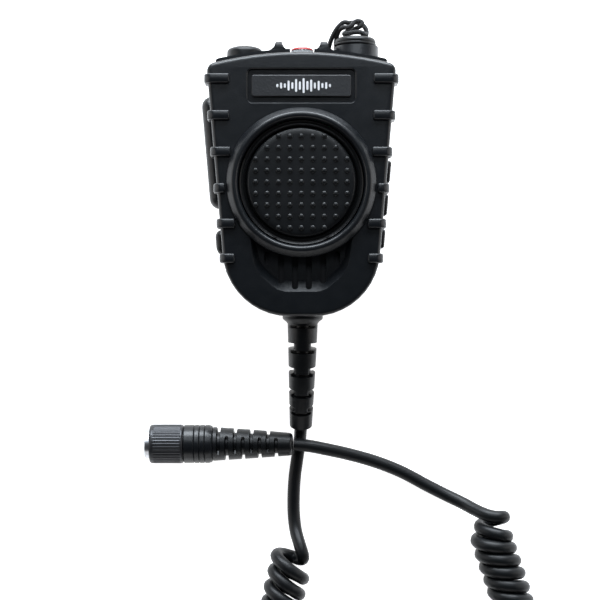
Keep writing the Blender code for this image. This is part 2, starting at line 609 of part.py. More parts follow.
def make_jack():
    body = [(1.9, -2.4), (3.0, -2.4), (3.0, -8.2), (1.9, -8.2)]
    piece("side_jack", on_wall(turned(body, "Y", (0, 0, 0), 14), -1, JACK_Y), "black_steel")
    hinge = wall_frame(-1, -27.0) @ Vector((0, 1.0, 0))
    lid = [[Vector((p.x, out, p.y)) for p in rounded(rectangle(-25.4, -16.1, -4.3, 4.3, 3.0), inset, 4)]
           for out, inset in ((0.4, 0.0), (3.4, 0.0), (4.9, 1.4))]
    cover = piece("jack_cover", on_wall(loft(lid), -1, 0.0), "gloss", hinge)
    join(cover, on_wall(block((-26.6, 0.4, -2.4), (-24.6, 1.6, 2.4), 0.3, 1), -1, 0.0), "strap")
    tab = on_wall(block((-32.4, 0.5, -2.4), (-28.0, 2.1, 2.4), 0.5, 1), -1, 0.0)
    piece("jack_cover_tab", tab, "rubber")


# ---------------------------------------------------------------- clip

def ear(x0, x1, radius, centre, reach):
    """A rounded ear with its plate end at the height reach."""
    y, z = centre
    points = []
    sign = 1 if reach < z else -1
    for k in range(9):
        angle = math.pi * k / 8
        points.append((y + radius * math.cos(angle), z + sign * radius * math.sin(angle)))
    points += [(y - radius - 0.8, reach), (y + radius + 0.8, reach)]
    rings = [[Vector((x, py, pz)) for py, pz in points] for x in (x0, x1)]
    body = loft(rings)
    bmesh.ops.recalc_face_normals(body, faces=body.faces)
    return body


def make_clip():
    swivel = (0, STUD_Y, 7.2)
    outline = rounded(rectangle(-10.7, 10.7, -21.0, 30.0, 3.0), steps=3)
    base = piece("clip_base", prism(outline, 6.4, 8.0), "steel", swivel)
    spot = (CLIP_PIVOT_Y, CLIP_PIVOT_Z)
    join(base, merged([ear(9.1, 10.6, 2.3, spot, 7.0), ear(-10.6, -9.1, 2.3, spot, 7.0)]), "ears")
    cut(base, rod(3.3, 5.0, 9.0, centre=(0, STUD_Y, 0)), "stud_hole")
    cut(base, rod(1.2, -12.0, 12.0, "X", (0, *spot), 14), "pin_hole")
    lever_outline = rounded(rectangle(-8.8, 8.8, -20.0, 36.0, 3.0), steps=3)
    lever = piece("clip_lever", prism(lever_outline, 0.0, 1.8), "steel", (0, *spot))
    join(lever, merged([ear(6.9, 8.5, 2.2, spot, 1.0), ear(-8.5, -6.9, 2.2, spot, 1.0)]), "ears")
    join(lever, block((-7.5, -19.2, 1.0), (7.5, -17.4, 6.1)), "jaw_lip")
    cut(lever, rod(1.2, -12.0, 12.0, "X", (0, *spot), 14), "pin_hole")
    piece("clip_pin", rod(0.9, -10.9, 10.9, "X", (0, *spot), 14), "steel", (0, *spot))
    turns, radius, per_turn = 5, 1.5, 10
    helix = []
    for k in range(turns * per_turn + 1):
        angle = 2 * math.pi * k / per_turn
        helix.append((-4.2 + 8.4 * k / (turns * per_turn), CLIP_PIVOT_Y + radius * math.cos(angle),
                      CLIP_PIVOT_Z + radius * math.sin(angle)))
    cord_curve("clip_spring", helix, 0.8, 0, "steel")
    stud = [(0, 5.5), (5.0, 5.5), (5.0, 6.1), (2.95, 6.1), (2.95, 13.4), (0, 13.4)]
    piece("clip_stud", turned(stud, centre=(0, STUD_Y, 0), steps=20), "steel")
    nut = piece("clip_nut", rod(5.9, 11.1, 13.2, centre=(0, STUD_Y, 0), steps=6), "steel")
    cut(nut, rod(3.3, 10.0, 14.0, centre=(0, STUD_Y, 0), steps=20), "bore")


# ---------------------------------------------------------------- cord and plug

def make_cord():
    centre = (0.5, 0, BOOT_Z)
    route = smooth_route(BOOT_ROUTE, 4.2)
    radii = [5.65 - 1.45 * k / (len(route) - 1) for k in range(len(route))]
    boot = piece("cord_boot", swept(list(zip(route, radii)), 16), "rubber")
    collar = [(0, -43.0), (5.0, -43.0), (5.0, -44.0), (4.3, -44.0), (4.3, -47.3), (7.5, -47.3), (7.5, -49.3),
              (6.4, -50.6), (0, -50.6)]
    join(boot, turned(collar, "Y", centre, 20), "collar")
    saddle = piece("cord_clamp", block((-5.5, -42.6, 13.4), (6.5, -37.6, 19.4), 0.5, 1), "case")
    cut(saddle, rod(2.6, -48.0, -30.0, "Y", centre, 14), "cord_bore")
    cord_curve("cord_lead", smooth_route(LEAD_ROUTE, 2.4 * CORD_D), CORD_D, 2)
    axis = [(x, y, COIL_Z) for x, y in COIL_ROUTE]
    cord_curve("cord_coil", smooth_route(axis, 9.0), 2 * COIL_R, 4)
    cord_curve("cord_tail", smooth_route(TAIL_ROUTE, 2.0 * CORD_D), CORD_D, 2)


def make_plug():
    stations = [((x, PLUG_Y, z), radius) for x, radius, z in PLUG_BOOT]
    piece("plug_boot", swept(stations, 16), "rubber")
    axis = (0, PLUG_Y, PLUG_Z)
    shell = [(0, -33.3), (6.6, -33.3), (7.2, -34.6), (7.2, -44.2), (5.4, -44.2), (5.4, -46.4), (0, -46.4)]
    piece("plug_backshell", turned(shell, "X", axis, 24), "case")
    ring = [(5.8, -44.5), (7.3, -44.5), (7.3, -56.4), (6.9, -57.0), (5.8, -57.0)]
    piece("coupling_ring", turned(ring, "X", axis, 28), "black_steel", (-50.0, PLUG_Y, PLUG_Z))
    nose = [(4.4, -46.7), (5.4, -46.7), (5.4, -59.0), (4.4, -59.0)]
    piece("plug_nose", turned(nose, "X", axis, 24), "steel")
    piece("plug_insert", rod(4.1, -46.8, -56.0, "X", axis, 18), "gloss")
    for number in range(3):
        angle = 2 * math.pi * number / 3
        spot = (0, PLUG_Y + 2.2 * math.cos(angle), PLUG_Z + 2.2 * math.sin(angle))
        piece(f"plug_pin_{number + 1}", rod(0.5, -56.3, -58.6, "X", spot, 8), "gold")


def main():
    clear_scene()
    make_front_shell()
    make_rear_shell()
    make_gasket()
    make_case_screws()
    make_bezel()
    make_front_button()
    make_badge()
    make_speaker()
    make_boards()
    make_talk_bar()
    make_keys()
    make_top_button()
    make_alarm_button()
    make_socket()
    make_tether()
    make_jack()
    make_clip()
    make_cord()
    make_plug()


main()
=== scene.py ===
"""Looks of the remote speaker microphone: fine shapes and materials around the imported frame.

Sizes are millimetres, turned into metres by MM where a mesh is made.  +Z points out of the front
face and +Y to the microphone's top.
"""

import json
import math

import bmesh
import bpy
from mathutils import Matrix, Vector


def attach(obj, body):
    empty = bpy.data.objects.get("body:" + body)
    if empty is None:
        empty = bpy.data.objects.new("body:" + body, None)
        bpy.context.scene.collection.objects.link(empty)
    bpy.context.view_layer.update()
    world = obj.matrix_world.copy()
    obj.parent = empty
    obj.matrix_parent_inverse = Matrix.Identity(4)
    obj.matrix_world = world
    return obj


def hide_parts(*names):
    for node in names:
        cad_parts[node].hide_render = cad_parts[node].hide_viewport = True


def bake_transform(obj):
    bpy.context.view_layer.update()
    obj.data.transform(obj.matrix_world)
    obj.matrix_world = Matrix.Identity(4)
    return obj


MM = 0.001
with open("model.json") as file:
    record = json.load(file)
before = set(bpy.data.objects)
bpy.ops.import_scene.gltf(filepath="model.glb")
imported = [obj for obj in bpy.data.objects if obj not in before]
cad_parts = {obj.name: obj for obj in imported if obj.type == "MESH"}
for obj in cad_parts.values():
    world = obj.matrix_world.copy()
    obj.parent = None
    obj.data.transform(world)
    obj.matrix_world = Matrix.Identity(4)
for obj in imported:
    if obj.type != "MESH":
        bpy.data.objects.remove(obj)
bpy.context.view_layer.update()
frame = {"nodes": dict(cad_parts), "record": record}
NODES = frame["nodes"]
HOME = "housing"

# Sizes that repeat the frame's
SIDE_SLOPE, FRONT_HALF_WIDTH, REAR_HALF_WIDTH = 0.0862, 30.57, 28.57
CROWN_RADIUS, CROWN_ANGLE = 131.0, math.radians(12.3)
FRONT_TOP, FRONT_BOTTOM = 47.1, -48.1
FRONT_Z0, FRONT_Z1, WALL, FRONT_FILLET = 25.2, 34.5, 2.0, 1.5
SIDE_Z = 16.6
BUTTON_R, BUTTON_TOP = 19.7, 36.4
RIBS = ((37.4, 25.9), (24.2, 25.8), (11.1, 25.4), (-2.0, 27.4), (-14.7, 23.8), (-27.2, 23.9))
SLOTS = ((-12.4, -29.5), (-7.3, -36.2), (-2.3, -38.4), (2.7, -38.4), (7.9, -36.2), (12.9, -29.5))
SCREW_SPOTS = ((24.5, 33.0), (-24.5, 33.0), (-17.5, -31.0), (17.5, -31.0))
TALK_BAR = (-8.2, 33.3, 5.7)
TOP_BUTTON_X = -21.0
ALARM_X = 0.3
SOCKET_X = 20.0
CORD_D = 4.8
BOOT_ROUTE = ((0.5, -49.9, 16.4), (0.4, -60.0, 15.8), (0.2, -71.0, 13.6), (0.0, -81.0, 10.3),
              (-0.2, -90.7, 6.2))
LEAD_ROUTE = ((-0.25, -91.0, 6.05), (-0.5, -94.5, 4.0), (-1.0, -98.5, 2.6), (-1.7, -103.5, 2.5),
              (-2.5, -109.5, 2.5), (-2.9, -116.0, 2.5), (-2.9, -123.0, 2.5), (-2.2, -128.8, 3.0),
              (-0.9, -133.2, 4.5), (0.7, -136.6, 6.3))
COIL_ROUTE = ((-3.3, -137.8), (-4.8, -145.1), (-7.0, -155.3), (-8.6, -170.0), (-3.5, -186.0),
              (12.0, -198.0), (35.0, -202.5), (58.0, -198.5), (75.0, -187.0), (82.0, -170.0),
              (78.3, -152.1), (75.3, -142.8), (72.3, -133.7), (71.0, -128.2))
TAIL_ROUTE = ((71.4, -126.2, 8.4), (70.7, -123.7, 8.0), (67.4, -121.9, 5.8), (61.3, -119.3, 3.6),
              (55.0, -116.4, 2.7), (48.0, -112.9, 2.5), (38.0, -107.6, 2.7), (28.0, -103.6, 3.7),
              (18.0, -100.6, 5.7), (9.0, -98.4, 8.0), (2.0, -97.0, 9.1), (-2.8, -96.55, 9.1))
# The shown cord climbs onto the coil at its start and turns back under itself at its end
CLIMB = ((-2.3, -128.8, 3.6), (-1.2, -133.0, 6.4), (0.2, -136.6, 9.3))
END_TURN = ((66.0, -127.6, 4.6), (69.8, -126.8, 2.6), (74.0, -125.6, 3.8), (76.3, -124.3, 7.4),
            (75.6, -123.6, 10.6), (72.6, -123.5, 11.6), (69.0, -122.7, 10.6), (65.2, -121.2, 7.6),
            (61.3, -119.3, 4.8), (55.0, -116.4, 2.9))
COIL_R, COIL_Z = 8.2, 8.4
COIL_LEAN = 1.8
COIL_PITCHES = (6.0, 5.6, 5.05)   # at the start, along the bend and near the end
PLUG_Y, PLUG_Z = -96.5, 7.5
PLUG_BOOT = ((-3.3, 4.15, 8.8), (-8.0, 4.7, 8.5), (-16.0, 5.3, 8.1), (-26.0, 5.9, 7.7), (-33.0, 6.4, 7.5))


# ---------------------------------------------------------------- materials

def make_material(name, colour, rough, metal=0.0, grain=(3500.0, 0.00003), mottle=0.12, rough_spread=0.06,
                  specular=0.5, coat=0.0, transmission=0.0, sheen=0.0, stretch=(1, 1, 1)):
    """Principled surface with a fine grain, uneven colour and uneven roughness."""
    mat = bpy.data.materials.new(name)
    mat.use_nodes = True
    tree = mat.node_tree
    shader = tree.nodes["Principled BSDF"]
    shader.inputs["Metallic"].default_value = metal
    shader.inputs["Specular IOR Level"].default_value = specular
    shader.inputs["Coat Weight"].default_value = coat
    shader.inputs["Coat Roughness"].default_value = 0.12
    shader.inputs["Transmission Weight"].default_value = transmission
    shader.inputs["Sheen Weight"].default_value = sheen
    shader.inputs["Sheen Roughness"].default_value = 0.4
    place = tree.nodes.new("ShaderNodeTexCoord")
    scale = tree.nodes.new("ShaderNodeMapping")
    scale.inputs["Scale"].default_value = stretch
    tree.links.new(place.outputs["Object"], scale.inputs["Vector"])

    def noise(size, detail):
        node = tree.nodes.new("ShaderNodeTexNoise")
        node.inputs["Scale"].default_value = size
        node.inputs["Detail"].default_value = detail
        tree.links.new(scale.outputs["Vector"], node.inputs["Vector"])
        return node.outputs["Fac"]

    tone = tree.nodes.new("ShaderNodeMix")
    tone.data_type = "RGBA"
    tree.links.new(noise(90.0, 4.0), tone.inputs["Factor"])
    tone.inputs["A"].default_value = (*[c * (1 - mottle) for c in colour], 1)
    tone.inputs["B"].default_value = (*[c * (1 + mottle) for c in colour], 1)
    tree.links.new(tone.outputs["Result"], shader.inputs["Base Color"])
    spread = tree.nodes.new("ShaderNodeMapRange")
    spread.inputs["To Min"].default_value = max(rough - rough_spread, 0.02)
    spread.inputs["To Max"].default_value = min(rough + rough_spread, 1.0)
    tree.links.new(noise(260.0, 3.0), spread.inputs["Value"])
    tree.links.new(spread.outputs["Result"], shader.inputs["Roughness"])
    bump = tree.nodes.new("ShaderNodeBump")
    bump.inputs["Strength"].default_value = 0.6
    bump.inputs["Distance"].default_value = grain[1]
    tree.links.new(noise(grain[0], 2.0), bump.inputs["Height"])
    tree.links.new(bump.outputs["Normal"], shader.inputs["Normal"])
    return mat


def woven_material(name, colour):
    """Braided thin cord: two crossing sets of waves."""
    mat = make_material(name, colour, 0.85, sheen=0.3, grain=(2500.0, 0.00004))
    tree = mat.node_tree
    shader = tree.nodes["Principled BSDF"]
    place = tree.nodes.new("ShaderNodeTexCoord")
    heights = []
    for angle in (40, -40):
        turn = tree.nodes.new("ShaderNodeMapping")
        turn.inputs["Rotation"].default_value = (0, 0, math.radians(angle))
        wave = tree.nodes.new("ShaderNodeTexWave")
        wave.inputs["Scale"].default_value = 420.0
        wave.inputs["Distortion"].default_value = 1.0
        tree.links.new(place.outputs["Object"], turn.inputs["Vector"])
        tree.links.new(turn.outputs["Vector"], wave.inputs["Vector"])
        heights.append(wave.outputs["Fac"])
    total = tree.nodes.new("ShaderNodeMath")
    total.operation = "MAXIMUM"
    tree.links.new(heights[0], total.inputs[0])
    tree.links.new(heights[1], total.inputs[1])
    bump = tree.nodes.new("ShaderNodeBump")
    bump.inputs["Distance"].default_value = 0.00015
    tree.links.new(total.outputs[0], bump.inputs["Height"])
    tree.links.new(bump.outputs["Normal"], shader.inputs["Normal"])
    return mat


MATERIALS = {
    "case": make_material("case", (0.0034, 0.0044, 0.0058), 0.32, grain=(2600.0, 0.00005), specular=0.40),
    "rubber": make_material("rubber", (0.0026, 0.0032, 0.0040), 0.36, grain=(1800.0, 0.00003),
                            specular=0.34),
    "gloss": make_material("gloss", (0.004, 0.0042, 0.0046), 0.34, grain=(500.0, 0.00002),
                           rough_spread=0.03, specular=0.20),
    "cord": make_material("cord", (0.0040, 0.0047, 0.0055), 0.40, grain=(900.0, 0.00003), specular=0.24),
    "badge": make_material("badge", (0.011, 0.012, 0.014), 0.42, grain=(1300.0, 0.00012), mottle=0.35),
    "mark": make_material("mark", (0.75, 0.76, 0.78), 0.5, grain=(2000.0, 0.00001), mottle=0.04),
    "red": make_material("red", (0.42, 0.010, 0.012), 0.22, grain=(600.0, 0.00001), coat=0.4,
                         transmission=0.15),
    "clear": make_material("clear", (0.80, 0.82, 0.84), 0.14, grain=(700.0, 0.00002), mottle=0.03,
                           transmission=0.75),
    "steel": make_material("steel", (0.52, 0.53, 0.55), 0.30, 1.0, grain=(1200.0, 0.00003),
                           stretch=(1, 0.06, 1)),
    "black_steel": make_material("black_steel", (0.030, 0.031, 0.034), 0.36, 0.6, grain=(2200.0, 0.00003)),
    "board": make_material("board", (0.015, 0.14, 0.06), 0.35, grain=(500.0, 0.00004)),
    "paper": make_material("paper", (0.12, 0.11, 0.10), 0.85, grain=(1500.0, 0.0001)),
    "magnet": make_material("magnet", (0.10, 0.10, 0.11), 0.5, 0.6, grain=(1500.0, 0.00006)),
    "gold": make_material("gold", (0.83, 0.60, 0.25), 0.22, 1.0, grain=(1500.0, 0.00001), mottle=0.05),
    "foam": woven_material("foam", (0.011, 0.011, 0.012)),
}


# ---------------------------------------------------------------- basic shapes

def to_object(name, bm, smooth=35):
    """Object of a mesh in millimetres, smooth but for edges sharper than smooth degrees."""
    bmesh.ops.scale(bm, verts=bm.verts, vec=(MM, MM, MM))
    bmesh.ops.recalc_face_normals(bm, faces=bm.faces)
    mesh = bpy.data.meshes.new(name)
    bm.to_mesh(mesh)
    bm.free()
    item = bpy.data.objects.new(name, mesh)
    bpy.context.scene.collection.objects.link(item)
    mesh.shade_smooth()
    mesh.set_sharp_from_angle(angle=math.radians(smooth))
    return item


def piece(name, bm, finish, body=HOME, nodes=(), smooth=35):
    """A visible piece that rides on a body and stands for CAD nodes."""
    item = to_object(name, bm, smooth)
    item.data.materials.append(MATERIALS[finish])
    return settle(item, body, nodes)


def settle(item, body, nodes):
    """Tie a piece to its body and hide the CAD nodes it stands for."""
    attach(item, body)
    if nodes:
        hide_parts(*nodes)
    return item


def rounded(corners, inset=0.0, steps=10):
    """Outline of a convex, anticlockwise polygon of (x, y, radius) corners, moved inwards by inset."""
    points = []
    count = len(corners)
    for i, (x, y, radius) in enumerate(corners):
        here = Vector((x, y))
        before = here - Vector(corners[i - 1][:2])
        after = Vector(corners[(i + 1) % count][:2]) - here
        normal_in = Vector((-before.y, before.x)).normalized()
        normal_out = Vector((-after.y, after.x)).normalized()
        mitre = (normal_in + normal_out) / (1.0 + normal_in.dot(normal_out))
        radius = max(radius - inset, 0.4)
        centre = here + mitre * (inset + radius)
        start = math.atan2(-normal_in.y, -normal_in.x)
        turn = normal_in.angle(normal_out)
        for k in range(steps + 1):
            angle = start + turn * k / steps
            points.append(centre + Vector((math.cos(angle), math.sin(angle))) * radius)
    return points


def loft(rings):
    """Skin over rings that all have the same number of points."""
    bm = bmesh.new()
    loops = [[bm.verts.new(point) for point in ring] for ring in rings]
    for low, high in zip(loops, loops[1:]):
        for i in range(len(low)):
            j = (i + 1) % len(low)
            bm.faces.new((low[i], low[j], high[j], high[i]))
    bm.faces.new(loops[0])
    bm.faces.new(loops[-1])
    return bm


def level(outline, z):
    """A flat outline at height z."""
    return [Vector((p.x, p.y, z)) for p in outline]


def prism(outline, z0, z1):
    return loft([level(outline, z0), level(outline, z1)])


def rectangle(x0, x1, y0, y1, radius):
    """Corners of a rectangle, as rounded() takes them."""
    return ((x1, y0, radius), (x1, y1, radius), (x0, y1, radius), (x0, y0, radius))


AXES = {
    "X": Matrix(((0, 0, 1, 0), (1, 0, 0, 0), (0, 1, 0, 0), (0, 0, 0, 1))),
    "Y": Matrix(((1, 0, 0, 0), (0, 0, 1, 0), (0, -1, 0, 0), (0, 0, 0, 1))),
    "Z": Matrix.Identity(4),
}


def turned(profile, axis="Z", centre=(0, 0, 0), steps=96, ripple=None):
    """Body of revolution of a closed (radius, height) profile.

    ripple(angle, radius, height) is added to each radius.
    """
    bm = bmesh.new()
    rings = []
    for radius, height in profile:
        if radius == 0:
            rings.append([bm.verts.new((0, 0, height))])
            continue
        ring = []
        for k in range(steps):
            angle = 2 * math.pi * k / steps
            reach = radius + (ripple(angle, radius, height) if ripple else 0)
            ring.append(bm.verts.new((reach * math.cos(angle), reach * math.sin(angle), height)))
        rings.append(ring)
    for low, high in zip(rings, rings[1:] + rings[:1]):
        if len(low) == 1 and len(high) == 1:
            continue
        for i in range(steps):
            j = (i + 1) % steps
            corners = [low[i % len(low)], low[j % len(low)], high[j % len(high)], high[i % len(high)]]
            bm.faces.new(list(dict.fromkeys(corners)))
    bmesh.ops.recalc_face_normals(bm, faces=bm.faces)
    bmesh.ops.transform(bm, matrix=Matrix.Translation(centre) @ AXES[axis], verts=bm.verts)
    return bm


def rod(radius, start, end, axis="Z", centre=(0, 0, 0), steps=48):
    return turned([(0, start), (radius, start), (radius, end), (0, end)], axis, centre, steps)


def block(low, high, bevel=0.0, steps=3):
    """Box between two corners, with its edges bevelled."""
    bm = bmesh.new()
    bmesh.ops.create_cube(bm, size=1.0)
    bmesh.ops.scale(bm, verts=bm.verts, vec=Vector(high) - Vector(low))
    bmesh.ops.translate(bm, verts=bm.verts, vec=(Vector(high) + Vector(low)) / 2)
    if bevel:
        bmesh.ops.bevel(bm, geom=bm.edges[:], offset=bevel, segments=steps, affect="EDGES", profile=0.5)
    return bm


def merged(parts):
    """One mesh of several; the parts are used up."""
    bm = bmesh.new()
    for part in parts:
        mesh = bpy.data.meshes.new("part")
        part.to_mesh(mesh)
        part.free()
        bm.from_mesh(mesh)
        bpy.data.meshes.remove(mesh)
    return bm


def carve(bm, tools):
    """The mesh after a chain of (operation, tool) Booleans."""
    item = to_object("carving", bm)
    helpers = []
    for operation, tool_mesh in tools:
        tool = to_object("tool", tool_mesh)
        step = item.modifiers.new("step", "BOOLEAN")
        step.operation = operation
        step.object = tool
        step.solver = "EXACT"
        helpers.append(tool)
    bpy.context.view_layer.update()
    result = bmesh.new()
    result.from_object(item, bpy.context.evaluated_depsgraph_get())
    for helper in helpers + [item]:
        bpy.data.objects.remove(helper)
    bmesh.ops.scale(result, verts=result.verts, vec=(1 / MM, 1 / MM, 1 / MM))
    return result


def refine(node, finish, body=HOME, width=0.25, angle=32, steps=2):
    """Copy of a CAD node with its edges rounded off."""
    source = NODES[node]
    mesh = source.data.copy()
    mesh.materials.clear()
    mesh.materials.append(MATERIALS[finish])
    bm = bmesh.new()
    bm.from_mesh(mesh)
    bmesh.ops.remove_doubles(bm, verts=bm.verts, dist=0.000002)
    flat = [e for e in bm.edges if len(e.link_faces) == 2 and e.calc_face_angle(0) < 0.002]
    bmesh.ops.dissolve_edges(bm, edges=flat, use_verts=False)
    bm.to_mesh(mesh)
    bm.free()
    item = bpy.data.objects.new(f"{node}_shape", mesh)
    bpy.context.scene.collection.objects.link(item)
    mesh.shade_smooth()
    mesh.set_sharp_from_angle(angle=math.radians(50))
    step = item.modifiers.new("edges", "BEVEL")
    step.width = width * MM
    step.segments = steps
    step.limit_method = "ANGLE"
    step.angle_limit = math.radians(angle)
    step.harden_normals = False
    return settle(item, body, [node])


def wall_frame(side, y):
    """Frame on a side wall: x runs up the wall, y out of it, z to the front."""
    along = Vector((side * SIDE_SLOPE, 1, 0)).normalized()
    out = Vector((side, -SIDE_SLOPE, 0)).normalized()
    matrix = Matrix((along, out, (0, 0, 1))).transposed().to_4x4()
    matrix.translation = (side * (REAR_HALF_WIDTH + SIDE_SLOPE * y), y, SIDE_Z)
    return matrix


def on_wall(bm, side, y):
    bmesh.ops.transform(bm, matrix=wall_frame(side, y), verts=bm.verts)
    return bm


def smooth_route(points, spacing):
    """Catmull-Rom curve through the points, read at about equal steps."""
    points = [Vector(p) for p in points]
    ends = [2 * points[0] - points[1]] + points + [2 * points[-1] - points[-2]]
    fine = []
    for a, b, c, d in zip(ends, ends[1:], ends[2:], ends[3:]):
        for k in range(40):
            t = k / 40
            fine.append(0.5 * (2 * b + (c - a) * t + (2 * a - 5 * b + 4 * c - d) * t ** 2
                               + (3 * b - a - 3 * c + d) * t ** 3))
    fine.append(points[-1])
    length = sum((q - p).length for p, q in zip(fine, fine[1:]))
    count = max(2, round(length / spacing))
    route, travelled, place = [fine[0]], 0.0, 1
    for p, q in zip(fine, fine[1:]):
        gap = (q - p).length
        while place < count and travelled + gap >= length * place / count:
            route.append(p.lerp(q, (length * place / count - travelled) / max(gap, 1e-9)))
            place += 1
        travelled += gap
    route.append(fine[-1])
    return route


def swept(route, radius_at, sides=64):
    """Round body along a route; radius_at(share of the way, angle) gives its surface."""
    rings = []
    last = len(route) - 1
    for i, centre in enumerate(route):
        ahead = route[min(i + 1, last)] - route[max(i - 1, 0)]
        side = ahead.cross(Vector((0, 0, 1))).normalized()
        up = side.cross(ahead).normalized()
        ring = []
        for k in range(sides):
            angle = 2 * math.pi * k / sides
            reach = radius_at(i / last, angle)
            ring.append(centre + (side * math.cos(angle) + up * math.sin(angle)) * reach)
        rings.append(ring)
    return loft(rings)


def tube(name, route, diameter, finish, body=HOME, nodes=(), resolution=5):
    """Round cord along a route of close points."""
    curve = bpy.data.curves.new(name, "CURVE")
    curve.dimensions = "3D"
    curve.bevel_depth = diameter / 2 * MM
    curve.bevel_resolution = resolution
    curve.use_fill_caps = True
    spline = curve.splines.new("POLY")
    spline.points.add(len(route) - 1)
    for knot, point in zip(spline.points, route):
        knot.co = (*(Vector(point) * MM), 1.0)
    curve.materials.append(MATERIALS[finish])
    item = bpy.data.objects.new(name, curve)
    bpy.context.scene.collection.objects.link(item)
    return settle(item, body, nodes)


def as_mesh(item):
    """Turn a curve piece that rides on nothing yet into a mesh."""
    mesh = bpy.data.meshes.new_from_object(item.evaluated_get(bpy.context.evaluated_depsgraph_get()))
    mesh.shade_smooth()
    name = item.name
    bpy.data.objects.remove(item)
    made = bpy.data.objects.new(name, mesh)
    bpy.context.scene.collection.objects.link(made)
    return made


# ---------------------------------------------------------------- camera, floor and light

def make_studio():
    camera = bpy.data.cameras.new("camera")
    camera.lens = 87.0
    camera.sensor_width = 36.0
    camera.clip_start = 0.01
    camera.clip_end = 20.0
    view = bpy.data.objects.new("camera", camera)
    view.location = (-0.0005, -0.0422, 0.555)
    bpy.context.scene.collection.objects.link(view)
    bpy.context.scene.camera = view

    bm = bmesh.new()
    bmesh.ops.create_grid(bm, x_segments=1, y_segments=1, size=2500)
    floor = to_object("floor", bm)
    floor.location.z = -0.0001
    pale = make_material("floor", (0.85, 0.85, 0.85), 0.8, grain=(300.0, 0.00001), mottle=0.003,
                         specular=0.0)
    glow = pale.node_tree.nodes["Principled BSDF"]
    glow.inputs["Emission Color"].default_value = (1, 1, 1, 1)
    glow.inputs["Emission Strength"].default_value = 0.95
    floor.data.materials.append(pale)

    world = bpy.data.worlds.new("studio")
    world.use_nodes = True
    tree = world.node_tree
    sky = tree.nodes["Background"]
    place = tree.nodes.new("ShaderNodeTexCoord")
    parts = tree.nodes.new("ShaderNodeSeparateXYZ")
    tree.links.new(place.outputs["Generated"], parts.inputs[0])
    ramp = tree.nodes.new("ShaderNodeValToRGB")
    ramp.color_ramp.elements[0].position = 0.15
    ramp.color_ramp.elements[0].color = (0.30, 0.31, 0.33, 1)
    ramp.color_ramp.elements[1].position = 0.75
    ramp.color_ramp.elements[1].color = (0.03, 0.032, 0.035, 1)
    tree.links.new(parts.outputs["Z"], ramp.inputs["Fac"])
    tree.links.new(ramp.outputs["Color"], sky.inputs["Color"])
    sky.inputs["Strength"].default_value = 1.0
    bpy.context.scene.world = world
    bpy.context.scene.view_settings.view_transform = "Standard"

    def softbox(name, place, aim, size, power, colour=(1, 1, 1)):
        light = bpy.data.lights.new(name, "AREA")
        light.shape = "RECTANGLE"
        light.size, light.size_y = size
        light.energy = power
        light.color = colour
        lamp = bpy.data.objects.new(name, light)
        lamp.location = place
        lamp.rotation_euler = (Vector(aim) - Vector(place)).to_track_quat("-Z", "Y").to_euler()
        bpy.context.scene.collection.objects.link(lamp)

    softbox("top_light", (0.0, 1.25, 0.46), (0, 0, 0.02), (1.5, 0.7), 56.0, (0.86, 0.93, 1.0))
    softbox("high_light", (0.0, 0.75, 1.25), (0, 0, 0.02), (1.2, 0.4), 6.0, (0.86, 0.93, 1.0))
    softbox("left_light", (-1.2, 0.1, 0.40), (0, -0.05, 0), (0.7, 1.2), 4.0, (1.0, 0.97, 0.94))
    softbox("right_light", (1.2, 0.1, 0.40), (0, -0.05, 0), (0.7, 1.2), 4.0, (1.0, 0.97, 0.94))
    softbox("low_light", (0.0, -1.3, 0.45), (0, -0.05, 0), (1.2, 0.6), 2.5)


# ---------------------------------------------------------------- cord and boots

def coil_pitch(reach, length):
    """Distance between turns at a place along the coil's axis."""
    first, middle, last = COIL_PITCHES
    if reach < 25.0:
        return first + (middle - first) * reach / 25.0
    if reach > length - 60.0:
        return middle + (last - middle) * min(1.0, (reach - length + 60.0) / 15.0)
    return middle


def helix_points():
    """The curly stretch: a leaning helix round the coil's axis, clockwise seen along it."""
    axis = smooth_route([(x, y, COIL_Z) for x, y in COIL_ROUTE], 0.3)
    reach, turns = [0.0], [0.0]
    for p, q in zip(axis, axis[1:]):
        reach.append(reach[-1] + (q - p).length)
    for near, far in zip(reach, reach[1:]):
        turns.append(turns[-1] + (far - near) / coil_pitch(near, reach[-1]))
    radius = COIL_R - CORD_D / 2
    start = math.radians(35)
    scale = (round(turns[-1]) + start / (2 * math.pi)) / turns[-1]
    points = []
    for i, centre in enumerate(axis):
        ahead = (axis[min(i + 2, len(axis) - 1)] - axis[max(i - 2, 0)]).normalized()
        side = Vector((0, 0, 1)).cross(ahead)
        phase = start - 2 * math.pi * turns[i] * scale
        lean = side * radius + ahead * COIL_LEAN
        points.append(centre + lean * math.cos(phase) + Vector((0, 0, radius * math.sin(phase))))
    return points


def ease(points, joint, reach, rounds):
    """Smooth a stretch of a route round one of its points."""
    for _ in range(rounds):
        for i in range(max(1, joint - reach), min(len(points) - 1, joint + reach)):
            points[i] = points[i].lerp((points[i - 1] + points[i + 1]) / 2, 0.5)


def make_cord():
    """The whole cord as one tube, from inside the upper boot to inside the plug's boot."""
    lead = smooth_route(((-0.1, -88.8, 7.2),) + LEAD_ROUTE[:-3] + CLIMB, 1.2)
    helix = helix_points()
    tail = smooth_route(END_TURN + TAIL_ROUTE[5:], 1.2)
    route = lead + helix + tail
    ease(route, len(lead), 6, 12)
    ease(route, len(lead) + len(helix), 6, 12)
    length = sum((q - p).length for p, q in zip(route, route[1:]))
    cord = tube("curly_cord", route, CORD_D, "cord", HOME, ["cord_lead", "cord_coil", "cord_tail"])
    return cord, length


